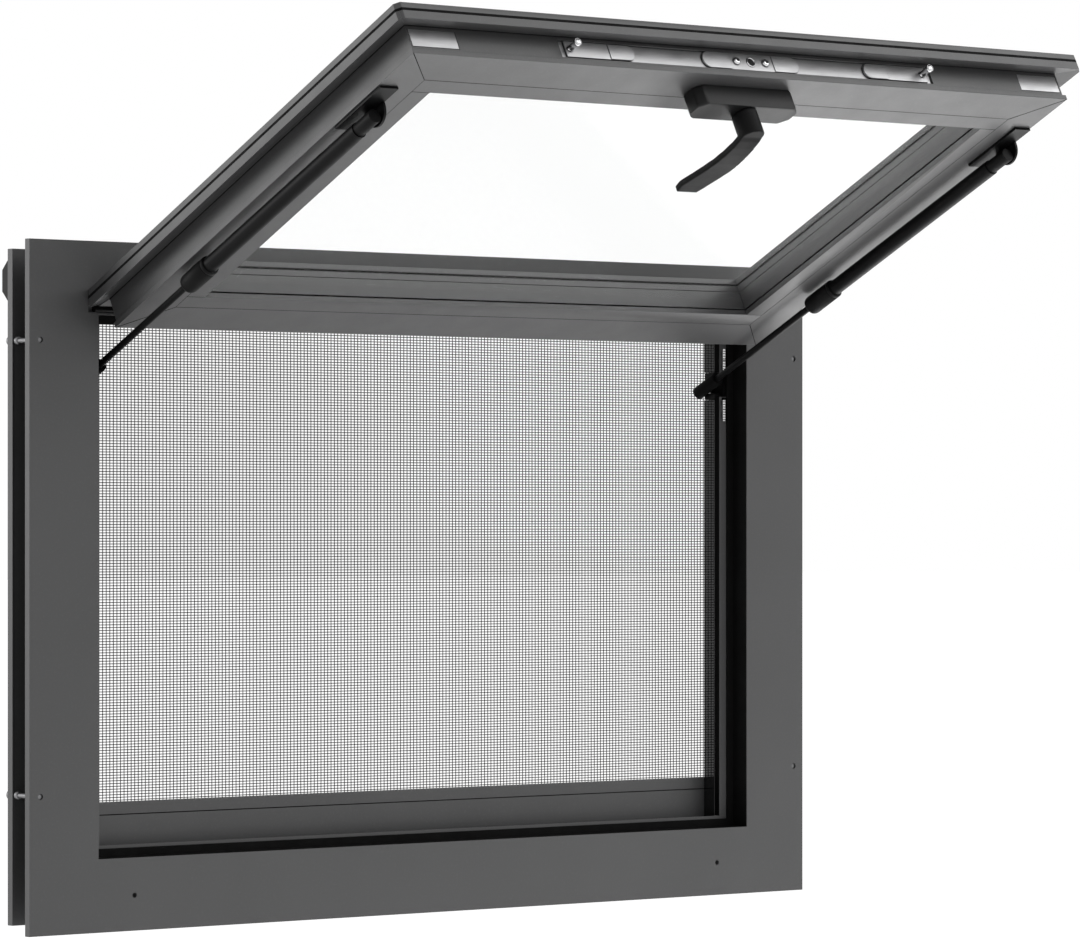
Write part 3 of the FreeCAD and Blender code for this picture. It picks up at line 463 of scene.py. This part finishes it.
WALL_INSET = 2
SLIDE_THICK = 1.4
SLIDE_GAP = 0.4
CASE_RAISE = 1.5
SLIDE_FACE = HANDLE_END + WALL_INSET
CASE_FACE = SLIDE_FACE + SLIDE_THICK + SLIDE_GAP - CASE_RAISE
GROOVE_MIDDLE = 7.2
COVER_THICK = 0.7
COVER_EDGE = 0.25
PIN_X = 213
SCREW_X = 17.5
ARC_STEPS = 16
# Cover, body, its square and its round end, half its width, the face it lies on
COVERS = (
    ("slide_cover_left", "slide_left", -168, -139.3, 7.4, SLIDE_FACE),
    ("slide_cover_right", "slide_right", 168, 139.3, 7.4, SLIDE_FACE),
    ("case_cover_left", "frame", -25, -57.6, 8.1, CASE_FACE),
    ("case_cover_right", "frame", 27, 57.6, 8.1, CASE_FACE),
)
# Turned forms: radius and height pairs from the foot up
SCREW = [(3.9, -0.1), (3.9, 0.5), (3.75, 1.2), (3.3, 2.0), (2.6, 2.6), (2.0, 2.8)]
SCREW_SOCKET = [(1.7, 2.4), (1.7, 2.84)]
BUSH = [(4.9, -0.1), (4.9, 0.4), (4.6, 0.8), (4.3, 0.9), (4.1, 0.8), (3.9, 0.1)]
SPINDLE = [(3.95, 0.0), (3.95, 0.3), (3.2, 0.35), (0.1, 0.2)]
PIN = [(3.3, 0), (3.3, 0.7), (2.9, 1.1), (2.9, 8.6), (3.2, 9.0), (3.7, 9.8), (3.8, 11.0), (3.6, 12.2),
       (3.0, 13.1), (2.0, 13.7), (0.8, 13.9)]


def outline_plate(mesh, points, face, thick):
    """Flat plate from its outline, its outer face standing thick above a face of the lock."""
    low = [mesh.verts.new(SASH @ (Vector((x, y, face)) * MM)) for x, y in points]
    high = [mesh.verts.new(SASH @ (Vector((x, y, face - thick)) * MM)) for x, y in points]
    mesh.faces.new(low)
    mesh.faces.new(list(reversed(high)))
    join_rings(mesh, low, high)
    bmesh.ops.recalc_face_normals(mesh, faces=mesh.faces)


def round_end(start, end, half):
    """Outline of a plate with a square end at start and a round one at end."""
    side = 1 if end > start else -1
    centre = end - side * half
    points = [(start, GROOVE_MIDDLE - half), (centre, GROOVE_MIDDLE - half)]
    for step in range(1, ARC_STEPS):
        angle = math.radians(-90 + step * 180 / ARC_STEPS)
        points.append((centre + side * half * math.cos(angle), GROOVE_MIDDLE + half * math.sin(angle)))
    return points + [(centre, GROOVE_MIDDLE + half), (start, GROOVE_MIDDLE + half)]


def lock_covers():
    for name, body, start, end, half, face in COVERS:
        mesh = bmesh.new()
        outline_plate(mesh, round_end(start, end, half), face, COVER_THICK)
        piece = new_piece(name, mesh, body, "zinc_steel", smooth=False)
        soften(piece, COVER_EDGE * MM)


def on_lock(x, face):
    """Place on the lock's face with its own Z outwards."""
    return SASH @ Matrix.Translation(Vector((x, GROOVE_MIDDLE, face)) * MM) @ Matrix.Rotation(math.pi, 4, "X")


def lock_screws():
    screws = [on_lock(x, CASE_FACE) for x in (-SCREW_X, SCREW_X)]
    turned("lock_screws", "frame", SCREW, ROUND, screws, "zinc_steel", chrome)
    turned("screw_sockets", "frame", SCREW_SOCKET, HEXAGON, screws, "black_plastic", smooth=False)
    hole = [on_lock(0, CASE_FACE)]
    turned("spindle_bush", "frame", BUSH, FINE_ROUND, hole, "zinc_steel", chrome)
    turned("spindle_end", "frame", SPINDLE, ROUND, hole, "black_plastic")
    for name, side in SIDES:
        pin = [on_lock(side * PIN_X, SLIDE_FACE)]
        turned("pin_head_" + name, "slide_" + name, PIN, ROUND, pin, "zinc_steel", chrome)


# Gas struts: each sleeve with its rounded ends and the groove of its ring

UPPER_BALL_X = 383.5
UPPER_BALL_Y = 37.1
UPPER_BALL_Z = HANDLE_END + 90
LOWER_BALL_X = 381.3
LOWER_SHIFT = 2.3
LOWER_BALL_Y = 37.7
LOWER_BALL_Z = 476.85
# Radius and distance from the upper ball
SLEEVE = [(7.6, 261), (8.8, 261.2), (9.4, 261.9), (9.5, 262.8), (9.5, 264.2), (8.8, 264.5), (8.8, 265.3),
          (9.5, 265.6), (9.5, 295), (9.3, 297), (8.7, 298.7), (7.6, 299.7), (6.0, 300), (3.5, 300)]


def strut_line(side):
    """Place at a strut's upper ball with its Z along the strut to the lower one."""
    upper = SASH @ (Vector((side * UPPER_BALL_X, UPPER_BALL_Y, UPPER_BALL_Z)) * MM)
    lower = Vector((side * LOWER_BALL_X - LOWER_SHIFT, LOWER_BALL_Y, LOWER_BALL_Z)) * MM
    return Matrix.Translation(upper) @ (lower - upper).to_track_quat("Z", "Y").to_matrix().to_4x4()


def strut_sleeves():
    for name, side in SIDES:
        piece = turned("sleeve_moulding_" + name, "frame", SLEEVE, FINE_ROUND, [strut_line(side)],
                       "black_plastic", strut_finish)
        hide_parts("strut_sleeve_" + name)


# Frame brackets: black cheeks in their notches, above and below the strut's ball

CHEEK_X = 387.3
CHEEK_Y = 31.3
CHEEK_WIDE = 8.0
CHEEK_DEEP = 15.8
CHEEK_EDGE = 0.8
CHEEK_LEVELS = ((467.0, 473.6), (484.2, 494.5))


def bracket_cheeks():
    for name, side in SIDES:
        mesh = bmesh.new()
        for low, high in CHEEK_LEVELS:
            size = Vector((CHEEK_WIDE, CHEEK_DEEP, high - low)) * MM
            middle = Vector((side * CHEEK_X, CHEEK_Y, (low + high) / 2)) * MM
            bmesh.ops.create_cube(mesh, size=1, matrix=Matrix.Translation(middle) @ Matrix.Diagonal((*size, 1)))
        piece = new_piece("bracket_cheeks_" + name, mesh, "frame", "black_paint", smooth=False)
        soften(piece, CHEEK_EDGE * MM)


# Nuts on the clamp screws, in front of the rear frame

CLAMP_X = 464.3
CLAMP_LEVELS = (509.45, 93.25)
NUT_FOOT = 31.4
NUT = [(2.4, 0), (3.4, 0.2), (3.9, 0.9), (4.0, 2.2), (3.7, 3.6), (3.0, 4.6), (2.4, 4.8)]


def clamp_nuts():
    places = [Matrix.Translation(Vector((x, NUT_FOOT, z)) * MM) @ Matrix.Rotation(math.pi / 2, 4, "X")
              for x in (-CLAMP_X, CLAMP_X) for z in CLAMP_LEVELS]
    turned("clamp_nuts", "frame", NUT, ROUND, places, "zinc_steel", dark_zinc)


# Bands and thin black lines of the sash, in its own millimetres

REVEAL_BEHIND = 0.5
REVEAL_SHOWN = 0.3
REVEAL_DEPTHS = (17.5, -1.0)
GASKET_PROUD = 0.05
GASKET_WIDE = 2
GASKET_CORNER = 5.3
GASKET_DEPTHS = (-10.55, -8.05)
SEAL_INSET = 2
SEAL_HANDLE = 2.3
SEAL_HINGE = 4
SEAL_DEPTH = -5.3
SEAL_RADIUS = 0.8
MITRE_RADIUS = 0.42
MITRE_INSET = 0.5
MITRE_SUNK = 0.15
JOINT_RADIUS = 0.32
JOINT_SUNK = 0.2


def band(name, outer, inner, depths, slot):
    """Closed ring in the sash between two outlines, from one depth to the other."""
    mesh = bmesh.new()
    rings = [[mesh.verts.new(SASH @ (Vector((across, depth, along)) * MM)) for across, along in outline]
             for depth in depths for outline in (outer, inner)]
    for first, second in ((0, 1), (1, 3), (3, 2), (2, 0)):
        join_rings(mesh, rings[first], rings[second])
    bmesh.ops.recalc_face_normals(mesh, faces=mesh.faces)
    new_piece(name, mesh, "frame", slot, smooth=False)


def around(side, low, high, corner=0.0):
    """Outline of the sash at a half width, with its two corners at the handle's end cut off."""
    if not corner:
        return [(-side, low), (side, low), (side, high), (-side, high)]
    return [(-side, low + corner), (-side + corner, low), (side - corner, low), (side, low + corner),
            (side, high), (-side, high)]


def sash_bands():
    """The glass unit's grey edge behind the bead, and the black gasket filling the lip's edge."""
    side, low, high = SASH_SIDE - DAYLIGHT, HANDLE_END + DAYLIGHT, HINGE_END - DAYLIGHT
    outer = around(side + REVEAL_BEHIND, low - REVEAL_BEHIND, high + REVEAL_BEHIND)
    inner = around(side - REVEAL_SHOWN, low + REVEAL_SHOWN, high - REVEAL_SHOWN)
    band("glazing_reveal", outer, inner, REVEAL_DEPTHS, "grey_paint")
    side = SASH_SIDE + LIP_REACH + GASKET_PROUD
    low, high = HANDLE_END - LIP_REACH - GASKET_PROUD, HINGE_END + LIP_HINGE
    inner = around(side - GASKET_WIDE, low + GASKET_WIDE, high - GASKET_WIDE, GASKET_CORNER)
    band("lip_line", around(side, low, high, LIP_CORNER), inner, GASKET_DEPTHS, "black_rubber")


def lip_seal():
    """Black seal in the lip's root, round three sides."""
    side, low, high = SASH_SIDE - SEAL_INSET, HANDLE_END + SEAL_HANDLE, HINGE_END + SEAL_HINGE
    corners = [(across, SEAL_DEPTH, along)
               for across, along in ((-side, high), (-side, low), (side, low), (side, high))]
    runs("lip_seal", zip(corners, corners[1:]), SEAL_RADIUS, OCTAGON, "black_rubber")


# Painted shade: black runs sunk in the mitres of the rails stand in for the shade in the mitre gaps.
def mitre_joints():
    depth = SASH_FACE - MITRE_SUNK
    mitres = []
    for across in (-1, 1):
        for end, inward in ((HANDLE_END, 1), (HINGE_END, -1)):
            mitres.append(((across * (SASH_SIDE - MITRE_INSET), depth, end + inward * MITRE_INSET),
                           (across * (SASH_SIDE - RAIL_WIDTH), depth, end + inward * RAIL_WIDTH)))
    runs("mitre_joints", mitres, MITRE_RADIUS, HEXAGON, "black_rubber")


def bead_joints():
    """Black runs sunk in the joints between the rails and the glazing beads, and between the beads at their
    corners: painted shade standing in for the shadow in these gaps.
    """
    depth = SASH_FACE - JOINT_SUNK
    x, low, high = SASH_SIDE - RAIL_WIDTH, HANDLE_END + RAIL_WIDTH, HINGE_END - RAIL_WIDTH
    beads = [((-x, depth, low), (x, depth, low)), ((-x, depth, high), (x, depth, high)),
             ((-x, depth, low), (-x, depth, high)), ((x, depth, low), (x, depth, high))]
    for across in (-1, 1):
        for z in (HANDLE_END + DAYLIGHT, HINGE_END - DAYLIGHT):
            beads.append(((across * x, depth, z), (across * (x - BEAD_WIDTH), depth, z)))
    runs("bead_joints", beads, JOINT_RADIUS, HEXAGON, "black_rubber")


# Black run along the groove of the screen's bottom bar, from end to end: painted shade standing in for the
# shadow in the groove

BAR_HALF = 437.5
BAR_FACE = 39.85
BAR_SPLIT = 71
BAR_RADIUS = 0.5


def bar_groove():
    line = ((-BAR_HALF, BAR_FACE, BAR_SPLIT), (BAR_HALF, BAR_FACE, BAR_SPLIT))
    runs("bar_groove", [line], BAR_RADIUS, HEXAGON, "black_rubber", Matrix.Identity(4))


screen()
cast_lever()
lock_covers()
lock_screws()
strut_sleeves()
sash_bands()
bracket_cheeks()
clamp_nuts()
lip_seal()
mitre_joints()
bead_joints()
bar_groove()

# Soft edges on the part's own pieces: width in millimetres, segments, least angle, nodes
SOFT_EDGES = (
    (0.45, 2, 35, ("front_flange", "rear_frame", "sash_rail_handle", "sash_rail_hinge", "sash_stile_left",
                   "sash_stile_right", "sash_cover", "bead_handle", "bead_hinge", "bead_left", "bead_right",
                   "screen_bottom_bar")),
    (0.4, 2, 35, ("lock_slide_left", "lock_slide_right", "lock_centre_plate", "corner_cleats")),
    (2.2, 4, 25, ("handle_base",)),
    (1.2, 3, 50, ("strut_socket_upper_left", "strut_socket_upper_right", "strut_socket_lower_left",
                  "strut_socket_lower_right")),
)
for width, segments, angle, names in SOFT_EDGES:
    for name in names:
        soften(nodes[name], width * MM, segments, angle)


# Floor, light and camera

AMBIENT = 0.4
FLOOR_GLOW = 0.75
FLOOR_LEVEL = -0.6
FLOOR_HALF = 60
AIM = (0, -0.15, 0.4)
# Name, place, aim, size in metres, watts
LAMPS = (
    ("key", (2.3, -1.9, 2.2), AIM, 1.6, 21),
    ("fill", (0.8, -2.75, 2.6), AIM, 1.6, 24),
    ("side", (-2.6, 1.6, 0.9), AIM, 1.6, 31),
    ("back", (3.0, 0.5, 0.8), AIM, 1.6, 21),
    ("bounce_back", (1.3, 0.55, -0.15), (1.3, 0.55, -1), 1.4, 22),
    ("bounce_front", (0.6, -0.9, -0.15), (0.6, -0.9, -1), 1.2, 11),
)
# Camera fitted to the photo: its width, focal length and rise in pixels, turn about Z in degrees, place
PHOTO_WIDTH = 1080
FOCAL = 5291.8
RISE = 44.84
YAW = 39.755
CAMERA_PLACE = (-3.1947, -4.0002, 0.3500)
SENSOR_WIDTH = 36.0


def seen_rays(tree):
    """1 for camera, gloss and transmission rays, 0 for the rest."""
    paths = tree.nodes.new("ShaderNodeLightPath")
    seen = paths.outputs["Is Camera Ray"]
    for name in ("Is Glossy Ray", "Is Transmission Ray"):
        either = tree.nodes.new("ShaderNodeMath")
        either.operation = "MAXIMUM"
        tree.links.new(seen, either.inputs[0])
        tree.links.new(paths.outputs[name], either.inputs[1])
        seen = either.outputs[0]
    return seen


def pale(name, colour, camera_light):
    """Diffuse stage surface that also shows white to the camera, to gloss and through glass."""
    s = Shader(name)
    diffuse = s.add("ShaderNodeBsdfDiffuse")
    s.join(colour, diffuse.inputs["Color"])
    glow = s.add("ShaderNodeEmission")
    s.join(s.calculate("MULTIPLY", seen_rays(s.tree), camera_light), glow.inputs["Strength"])
    both = s.add("ShaderNodeAddShader")
    s.join(diffuse.outputs[0], both.inputs[0])
    s.join(glow.outputs[0], both.inputs[1])
    s.join(both.outputs[0], s.output.inputs["Surface"])
    return s.material


def stage():
    mesh = bmesh.new()
    bmesh.ops.create_grid(mesh, x_segments=1, y_segments=1, size=FLOOR_HALF)
    data = bpy.data.meshes.new("floor")
    mesh.to_mesh(data)
    mesh.free()
    floor = bpy.data.objects.new("floor", data)
    bpy.context.scene.collection.objects.link(floor)
    floor.location = (0, 0, FLOOR_LEVEL)
    data.materials.append(pale("floor", (0.8, 0.8, 0.8), FLOOR_GLOW))


def world():
    scene_world = bpy.data.worlds.new("studio")
    bpy.context.scene.world = scene_world
    scene_world.use_nodes = True
    tree = scene_world.node_tree
    tree.nodes.clear()
    level = tree.nodes.new("ShaderNodeMapRange")
    level.inputs["To Min"].default_value = AMBIENT
    level.inputs["To Max"].default_value = 1.0
    tree.links.new(seen_rays(tree), level.inputs["Value"])
    background = tree.nodes.new("ShaderNodeBackground")
    background.inputs["Color"].default_value = (1, 1, 1, 1)
    tree.links.new(level.outputs[0], background.inputs["Strength"])
    output = tree.nodes.new("ShaderNodeOutputWorld")
    tree.links.new(background.outputs[0], output.inputs["Surface"])


def softbox(name, place, aim, size, watts):
    data = bpy.data.lights.new(name, "AREA")
    data.shape = "SQUARE"
    data.size = size
    data.energy = watts
    light = bpy.data.objects.new(name, data)
    bpy.context.scene.collection.objects.link(light)
    light.location = place
    light.rotation_mode = "QUATERNION"
    light.rotation_quaternion = (Vector(aim) - Vector(place)).to_track_quat("-Z", "Y")
    light.visible_camera = False


def camera():
    data = bpy.data.cameras.new("camera")
    data.sensor_width = SENSOR_WIDTH
    data.lens = FOCAL / PHOTO_WIDTH * SENSOR_WIDTH
    data.shift_y = RISE / PHOTO_WIDTH
    data.clip_end = 200
    view = bpy.data.objects.new("camera", data)
    bpy.context.scene.collection.objects.link(view)
    view.location = CAMERA_PLACE
    view.rotation_euler = (math.radians(90), 0, -math.radians(YAW))
    bpy.context.scene.camera = view


stage()
world()
for lamp in LAMPS:
    softbox(*lamp)
camera()
bpy.context.scene.view_settings.view_transform = "Standard"
